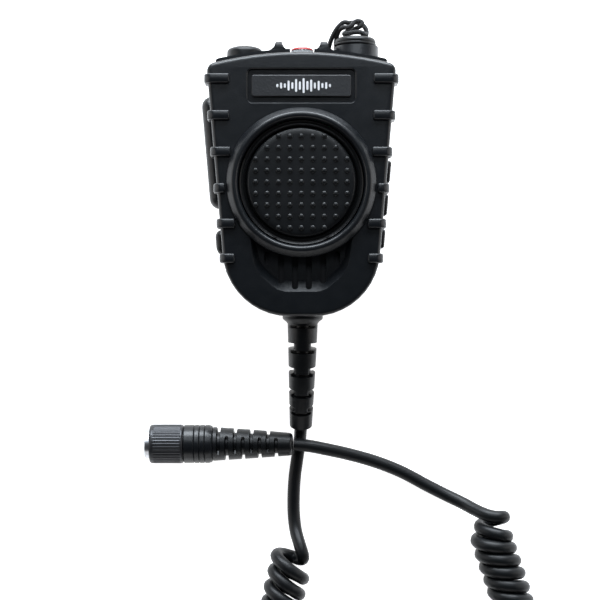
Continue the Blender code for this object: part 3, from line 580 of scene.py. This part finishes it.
def make_mic_boot():
    """Strain relief with notches at its sides, cross grooves on its faces and a collar."""
    route = smooth_route(BOOT_ROUTE, 0.14)
    route = route[:round(len(route) * 0.966)]
    first, run = -49.9, 39.6
    notches = ((-58.7, 1.05), (-67.4, 1.15), (-75.3, 0.95), (-81.6, 0.8))
    cross_grooves = ((-51.9, 0.5), (-60.6, 0.5), (-68.9, 0.5), (-76.5, 0.5), (-83.3, 0.5))

    def radius_at(share, angle):
        y = first - run * share
        full, core = 5.65 - 1.40 * share, 3.3 - 0.3 * share
        deep = 0.0
        for marks, across in ((notches, abs(math.cos(angle))), (cross_grooves, abs(math.sin(angle)))):
            for middle, half in marks:
                edge = min(1.0, max(0.0, (half - abs(y - middle)) / 0.12))
                deep = max(deep, edge * min(1.0, max(0.0, (across - 0.55) / 0.06)))
        return full - (full - core) * deep

    body = swept(route, radius_at)
    collar = [(0, -43.0), (5.0, -43.0), (5.0, -44.0), (4.3, -44.0), (4.3, -47.3), (7.2, -47.3),
              (7.5, -47.6), (7.5, -49.0), (7.2, -49.5), (6.2, -50.2), (5.7, -50.9), (0, -50.9)]
    boot = merged([body, turned(collar, "Y", (0.5, 0, 16.4), 64)])
    return piece("cord_boot_shape", boot, "rubber", HOME, ["cord_boot"])


def make_plug_boot():
    """Tapered boot with slots that come from both sides in turn and end round."""
    route = smooth_route([(x, PLUG_Y, z) for x, _, z in PLUG_BOOT], 0.15)
    length, pitch, half = 29.7, 3.1, 0.68

    def radius_at(share, angle):
        full = 4.15 + 2.25 * share ** 0.85
        tip = max(0.0, 1.0 - share * length / 1.2)
        full -= 1.0 - math.sqrt(1.0 - tip * tip)
        for k in range(8):
            away = abs(share * length - (6.0 + pitch * k))
            reach = math.cos(angle) * (1 if k % 2 else -1) + 0.55
            if reach > 0 and away < half:
                end = min(1.0, reach / 0.25)
                width = half * math.sqrt(end * (2 - end))
                if away < width:
                    full -= (full - 3.2 - 1.5 * share) * min(1.0, (width - away) / 0.14)
        return full

    body = swept(route, radius_at)
    return piece("plug_boot_shape", body, "rubber", HOME, ["plug_boot"])


def make_plug():
    axis = (0, PLUG_Y, PLUG_Z)
    shell = [(0, -33.3), (6.3, -33.3), (6.8, -33.6), (7.2, -34.8), (7.2, -36.0), (6.9, -36.3), (7.2, -36.6),
             (7.2, -38.0), (6.9, -38.3), (7.2, -38.6), (7.2, -40.0), (6.9, -40.3), (7.2, -40.6),
             (7.2, -43.9), (6.9, -44.2), (5.4, -44.2), (5.4, -46.4), (0, -46.4)]
    piece("plug_backshell_shape", turned(shell, "X", axis), "case", HOME, ["plug_backshell"])

    def knurl(angle, radius, height):
        inside = radius > 7.0 and -55.6 < height < -45.4
        return -0.22 * (0.5 + 0.5 * math.cos(40 * angle)) if inside else 0.0

    heights = [-45.5 - 0.45 * k for k in range(23)]
    ring = [(5.8, -44.5), (6.9, -44.5), (7.3, -44.9), (7.3, -45.3)] + [(7.3, h) for h in heights]
    ring += [(7.3, -55.7), (7.3, -56.4), (6.9, -57.0), (5.8, -57.0)]
    piece("coupling_ring_shape", turned(ring, "X", axis, 240, knurl), "black_steel", "coupling",
          ["coupling_ring"])
    nose = [(4.4, -46.7), (5.4, -46.7), (5.4, -58.6), (5.1, -59.0), (4.7, -59.0), (4.4, -58.7)]
    piece("plug_nose_shape", turned(nose, "X", axis), "steel", HOME, ["plug_nose"])


# ---------------------------------------------------------------- front shell

def shell_corners(half_width, top, bottom, bottom_radius):
    """Outline of a shell: wedge sides under a crowned top."""
    roof = math.tan(CROWN_ANGLE)
    apex = top + CROWN_RADIUS * (1 / math.cos(CROWN_ANGLE) - 1)
    x_top = (half_width + SIDE_SLOPE * apex) / (1 + SIDE_SLOPE * roof)
    y_top = apex - roof * x_top
    x_low = half_width + SIDE_SLOPE * bottom
    return ((x_top, y_top, 3.2), (0, apex, CROWN_RADIUS), (-x_top, y_top, 3.2),
            (-x_low, bottom, bottom_radius), (x_low, bottom, bottom_radius))


FRONT_CORNERS = shell_corners(FRONT_HALF_WIDTH, FRONT_TOP, FRONT_BOTTOM, 24.0)


def grille_corners(bottom, middle, top_half):
    """U shape that opens towards the front button; bottom and middle are (half width, y, radius)."""
    right = (bottom, middle, (top_half, -15.0, 2.0))
    left = [(-x, y, radius) for x, y, radius in reversed(right)]
    return (*right, *left)


GRILLE_RIM = grille_corners((8.0, -39.15, 9.0), (16.8, -31.6, 12.0), 18.9)
GRILLE_FOOT = grille_corners((8.2, -35.15, 3.0), (14.6, -29.4, 9.0), 18.4)


def make_front_shell():
    rings = [level(rounded(FRONT_CORNERS, 0.35), FRONT_Z0), level(rounded(FRONT_CORNERS), FRONT_Z0 + 0.35)]
    for k in range(9):
        angle = math.radians(90 * k / 8)
        inset = FRONT_FILLET * (1 - math.cos(angle))
        rings.append(level(rounded(FRONT_CORNERS, inset), FRONT_Z1 - FRONT_FILLET * (1 - math.sin(angle))))
    cavity = [level(rounded(FRONT_CORNERS, WALL), FRONT_Z0 - 2), level(rounded(FRONT_CORNERS, WALL), 30.9),
              level(rounded(FRONT_CORNERS, WALL + 1.6), FRONT_Z1 - 2.2)]
    bosses = merged(rod(3.0, FRONT_Z0, 33.0, centre=(x, y, 0), steps=24) for x, y in SCREW_SPOTS)
    slope = [level(rounded(GRILLE_FOOT), 31.0), level(rounded(GRILLE_RIM, 0.15), FRONT_Z1 - 0.2),
             level(rounded(GRILLE_RIM, -0.5), FRONT_Z1 + 0.4)]
    slots = []
    for x, y in SLOTS:
        outline = rounded(rectangle(x - 1.08, x + 1.08, y, -24.6, 1.0), steps=6)
        slots.append(prism(outline, 27.0, 36.0))
    recess = rectangle(-19.4, 19.4, 28.7, 40.9, 1.8)
    badge = [level(rounded(recess), 33.3), level(rounded(recess), FRONT_Z1 - 0.35),
             level(rounded(recess, -0.7), FRONT_Z1 + 0.35)]
    holes = merged(rod(1.5, 20.0, 30.6, centre=(x, y, 0), steps=24) for x, y in SCREW_SPOTS)
    shell = carve(loft(rings), [
        ("DIFFERENCE", loft(cavity)), ("UNION", prism(rounded(GRILLE_RIM, -2.6), 28.9, 33.0)),
        ("UNION", bosses), ("DIFFERENCE", rod(24.3, 20.0, 40.0, steps=128)),
        ("DIFFERENCE", loft(slope)), ("DIFFERENCE", merged(slots)),
        ("DIFFERENCE", loft(badge)), ("DIFFERENCE", holes),
    ])
    piece("front_shell_shape", shell, "case", HOME, ["front_shell"], smooth=28)


def rib(side, y, inner):
    """A bevelled bar along the face, over the fillet and down the side wall."""
    edge = FRONT_HALF_WIDTH + SIDE_SLOPE * y
    bend = edge - FRONT_FILLET
    line = []
    for step in (0.0, 0.05, 0.12, 0.22, 0.35, 0.5, 0.7):
        line.append((Vector((inner + step, 0, FRONT_Z1)), Vector((0, 0, 1))))
    for k in range(9):
        angle = math.radians(90 * k / 8)
        out = Vector((math.sin(angle), 0, math.cos(angle)))
        line.append((Vector((bend, 0, FRONT_Z1 - FRONT_FILLET)) + out * FRONT_FILLET, out))
    for k in range(1, 6):
        line.append((Vector((edge, 0, FRONT_Z1 - FRONT_FILLET - 6.6 * k / 5)), Vector((1, 0, 0))))
    half, corner = 1.72, 0.7
    section = [(-1.0, -0.6), (-1.0, 0.5), (-0.95, 0.74), (-0.84, 0.92), (-0.68, 1.0), (0.68, 1.0),
               (0.84, 0.92), (0.95, 0.74), (1.0, 0.5), (1.0, -0.6)]
    rings = []
    for spot, out in line:
        travelled = max(0.0, spot.x - inner)
        back = 1 - min(1.0, travelled / corner)
        width = half - corner * (1 - math.sqrt(1 - back * back))
        back = 1 - min(1.0, travelled / 0.5)
        height = 1.5 - 0.25 * out.x - 0.5 * (1 - math.sqrt(1 - back * back))
        ring = []
        for across, up in section:
            point = spot + out * (height * up if up > 0 else up)
            ring.append(Vector((side * point.x, y + across * width, point.z)))
        rings.append(ring)
    return loft(rings)


def make_ribs():
    """The grip ribs of both sides, as one piece."""
    bars = [rib(side, y, inner) for side in (1, -1) for y, inner in RIBS]
    for bar in bars:
        bmesh.ops.recalc_face_normals(bar, faces=bar.faces)
    piece("grip_ribs", merged(bars), "case", smooth=50)


def make_badge():
    outline = rectangle(-17.85, 17.85, 31.0, 38.65, 0.9)
    plate = loft([level(rounded(outline), 33.6), level(rounded(outline), 34.15),
                  level(rounded(outline, 0.2), 34.3)])
    piece("badge_plate_shape", plate, "badge", HOME, ["badge_plate"])
    bars = []
    heights = (1.2, 2.2, 1.6, 3.6, 2.4, 4.6, 3.0, 5.4, 3.2, 4.4, 2.2, 3.4, 1.8, 2.4, 1.2)
    for number, height in enumerate(heights):
        x = 0.8 + (number - (len(heights) - 1) / 2) * 1.35
        shape = rounded(rectangle(x - 0.36, x + 0.36, 34.8 - height / 2, 34.8 + height / 2, 0.34), steps=4)
        bars.append(prism(shape, 34.25, 34.42))
    piece("badge_mark", merged(bars), "mark")


def make_bezel():
    profile = [(22.7, 31.2), (24.0, 31.2), (24.0, 34.8), (26.9, 34.8), (26.95, 35.2), (26.85, 35.55),
               (26.7, 35.75), (25.2, 37.55), (24.95, 37.8), (24.6, 37.97), (24.2, 38.0), (23.7, 38.0),
               (23.4, 37.9), (23.15, 37.65), (22.85, 37.15), (22.7, 36.8)]
    piece("ptt_bezel_shape", turned(profile, steps=160), "case", HOME, ["ptt_bezel_ring"], smooth=28)
    moat = [(20.0, 33.2), (22.4, 33.2), (22.45, 34.6), (22.2, 35.0), (21.8, 34.75), (21.3, 34.55),
            (20.8, 34.7), (20.4, 35.0), (20.05, 34.6)]
    piece("ptt_membrane_shape", turned(moat, steps=160), "gloss", HOME, ["ptt_membrane"], smooth=60)


def make_front_button():
    profile = [(0, 29.6), (3.0, 29.6), (3.0, 31.2), (21.6, 31.2), (21.6, 32.2), (BUTTON_R, 32.2),
               (BUTTON_R, 35.1), (19.6, 35.5), (19.35, 35.85), (18.9, 36.1), (18.2, 36.25), (17.0, 36.32),
               (10.0, 36.38), (0, BUTTON_TOP)]
    bodies = [turned(profile, steps=160)]
    pitch, rows = 4.1, (5, 7, 9, 9, 9, 9, 9, 7, 5)
    for row, count in enumerate(rows):
        for column in range(count):
            x = (column - (count - 1) / 2) * pitch
            y = ((len(rows) - 1) / 2 - row) * pitch
            nub = [(0, 36.2), (1.0, 36.2), (0.98, 36.5), (0.85, 36.72), (0.6, 36.86), (0, 36.92)]
            bodies.append(turned(nub, centre=(x, y, 0), steps=20))
    piece("front_button_shape", merged(bodies), "rubber", "front_ptt", ["front_ptt_button"], smooth=40)


# ---------------------------------------------------------------- controls on the sides and the top

def make_talk_bar():
    low, high, proud = TALK_BAR
    corners = rectangle(low, high, -5.4, 5.4, 4.2)
    rings = []
    for out, inset in ((1.9, 0.0), (proud - 3.4, 0.0)):
        rings.append([Vector((p.x, out, p.y)) for p in rounded(corners, inset)])
    for k in range(1, 9):
        angle = math.radians(90 * k / 8)
        outline = rounded(corners, 3.6 * (1 - math.cos(angle)))
        rings.append([Vector((p.x, proud - 3.4 * (1 - math.sin(angle)), p.y)) for p in outline])
    plunger = block((low + 4.0, -4.0, -3.6), (high - 4.0, 2.4, 3.6), 0.5)
    bar = on_wall(merged([loft(rings), plunger]), -1, 0.0)
    piece("side_ptt_bar_shape", bar, "rubber", "side_ptt", ["side_ptt_bar"], smooth=50)


def make_top_button():
    profile = [(0, 43.2), (6.6, 43.2), (6.6, 49.4), (6.55, 49.9), (6.35, 50.4), (5.95, 50.8), (5.3, 51.15),
               (4.2, 51.5), (2.9, 51.78), (1.5, 51.95), (0, 52.0)]
    centre = (TOP_BUTTON_X, 0, SIDE_Z)
    tabs = block((TOP_BUTTON_X - 7.7, 43.2, SIDE_Z - 3.5), (TOP_BUTTON_X + 7.7, 44.2, SIDE_Z + 3.5))
    body = merged([turned(profile, "Y", centre, 72), tabs])
    piece("top_button_shape", body, "rubber", "top_key", ["top_button"], smooth=50)


def make_alarm():
    centre = (ALARM_X, 0, SIDE_Z)
    dome = [(0, 50.2), (4.05, 50.2), (4.1, 50.35), (4.05, 50.6), (3.85, 50.85), (3.4, 51.1), (2.6, 51.35),
            (1.6, 51.5), (0.8, 51.56), (0, 51.57)]
    piece("emergency_dome", turned(dome, "Y", centre, 64), "red", "emergency", ["emergency_button"],
          smooth=60)
    core = [(0, 44.4), (1.9, 44.4), (1.9, 50.3), (0, 50.3)]
    piece("emergency_core", turned(core, "Y", centre, 40), "rubber", "emergency")
    skirt = [(2.15, 44.6), (4.9, 44.6), (4.9, 45.6), (4.1, 45.6), (4.1, 49.95), (4.0, 50.1), (2.15, 50.1)]
    piece("light_pipe_shape", turned(skirt, "Y", centre, 64), "clear", "emergency", ["light_pipe"],
          smooth=50)


def make_socket():
    centre = (SOCKET_X, 0, SIDE_Z)
    body = [(4.2, 40.5), (5.55, 40.5), (5.55, 50.2), (6.7, 50.2)]
    for k in range(3):
        y = 50.5 + 0.8 * k
        body += [(6.7, y), (6.35, y + 0.25), (6.35, y + 0.45), (6.7, y + 0.7)]
    body += [(6.7, 52.9), (6.5, 53.1), (4.4, 53.1), (4.2, 52.9)]
    piece("accessory_socket_shape", turned(body, "Y", centre), "black_steel", HOME, ["accessory_socket"])
    cap = [(0, 51.2), (3.7, 51.2), (3.7, 53.4), (7.0, 53.4), (7.0, 51.9), (7.6, 51.9), (7.75, 52.05),
           (7.75, 52.6), (7.65, 52.75), (7.3, 52.85), (7.3, 53.0), (7.55, 53.1), (7.6, 53.4), (7.5, 53.9),
           (7.25, 54.35), (6.8, 54.7), (6.1, 54.93), (5.2, 55.05), (2.6, 55.13), (0, 55.15)]
    post = block((21.9, 54.4, SIDE_Z - 1.6), (24.9, 56.6, SIDE_Z + 1.6), 0.9, 4)
    body = merged([turned(cap, "Y", centre), post])
    piece("dust_cap_shape", body, "rubber", "dust_cap", ["dust_cap"], smooth=45)


def make_tether():
    """Thin woven cord: from the deck in two legs to a knot, and through the cap's eyelet."""
    first = [(10.9, 49.3, 12.0), (10.2, 51.4, 12.6), (10.9, 54.2, 14.0), (12.1, 56.9, 15.4),
             (13.8, 59.3, 16.6), (15.7, 60.8, 17.0), (17.7, 60.7, 16.4), (19.3, 61.0, 15.6),
             (21.2, 61.0, 15.4), (22.8, 60.0, 16.0),
             (23.9, 58.4, 16.8), (24.2, 56.7, 17.2), (23.6, 55.9, 18.6)]
    loop = [(22.0, 56.6, 19.6), (19.6, 56.7, 19.4), (17.2, 56.4, 18.4), (15.9, 56.5, 16.8),
            (16.6, 57.4, 15.4), (18.6, 58.0, 15.6), (20.6, 58.6, 17.6), (22.2, 59.3, 18.8),
            (22.4, 60.5, 18.6), (20.9, 61.0, 18.6),
            (19.4, 60.3, 18.8), (18.6, 59.2, 18.9), (17.2, 58.7, 18.4)]
    last = [(15.6, 58.8, 17.6), (14.2, 58.2, 16.2), (13.3, 56.3, 14.8), (13.0, 54.2, 12.4),
            (13.1, 51.8, 10.4), (13.2, 49.2, 9.9)]
    curve = bpy.data.curves.new("tether_loop", "CURVE")
    curve.dimensions = "3D"
    curve.bevel_depth = 0.88 * MM
    curve.bevel_resolution = 4
    curve.use_fill_caps = True
    route = smooth_route(first + loop + last, 0.4)
    spline = curve.splines.new("POLY")
    spline.points.add(len(route) - 1)
    for knot, point in zip(spline.points, route):
        knot.co = (*(point * MM), 1.0)
    curve.materials.append(MATERIALS["foam"])
    item = bpy.data.objects.new("tether_loop", curve)
    bpy.context.scene.collection.objects.link(item)
    item = as_mesh(item)
    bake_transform(item)
    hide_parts("tether_cord")


def make_keys():
    refine("volume_up_key", "rubber", "volume_up", 0.3)
    refine("volume_down_key", "rubber", "volume_down", 0.3)
    refine("function_key", "rubber", "function", 0.3)


def make_jack_cover():
    corners = rectangle(-25.4, -16.1, -4.3, 4.3, 3.0)
    rings = []
    for inset, out in ((0.2, 0.4), (0.0, 0.6), (0.0, 2.6), (0.2, 3.4), (0.7, 4.1), (1.5, 4.6), (2.6, 4.85)):
        rings.append([Vector((p.x, out, p.y)) for p in rounded(corners, inset)])
    lid = merged([loft(rings), block((-26.6, 0.4, -2.4), (-24.6, 1.6, 2.4), 0.3)])
    piece("jack_cover_shape", on_wall(lid, -1, 0.0), "gloss", "jack_cover", ["jack_cover"], smooth=50)
    refine("jack_cover_tab", "rubber", HOME, 0.2)


def make_rear():
    refine("rear_shell", "case", HOME, 0.3)
    refine("clip_base", "steel", "clip", 0.25)
    refine("clip_lever", "steel", "clip_lever", 0.25)
    for number in range(1, 5):
        refine(f"case_screw_{number}", "black_steel", HOME, 0.12)


def finish_cad_nodes():
    """Every CAD node that still shows gets its own procedural finish."""
    slots = {}
    for row in frame["record"]["subparts"]:
        slots[row["node"]] = row["material_slot"]
    for name, item in NODES.items():
        item.data.materials.clear()
        item.data.materials.append(MATERIALS[slots[name]])


make_studio()
finish_cad_nodes()
cord, cord_length = make_cord()
make_mic_boot()
make_plug_boot()
make_plug()
make_front_shell()
make_ribs()
make_badge()
make_bezel()
make_front_button()
make_talk_bar()
make_top_button()
make_alarm()
make_socket()
make_tether()
make_keys()
make_jack_cover()
make_rear()
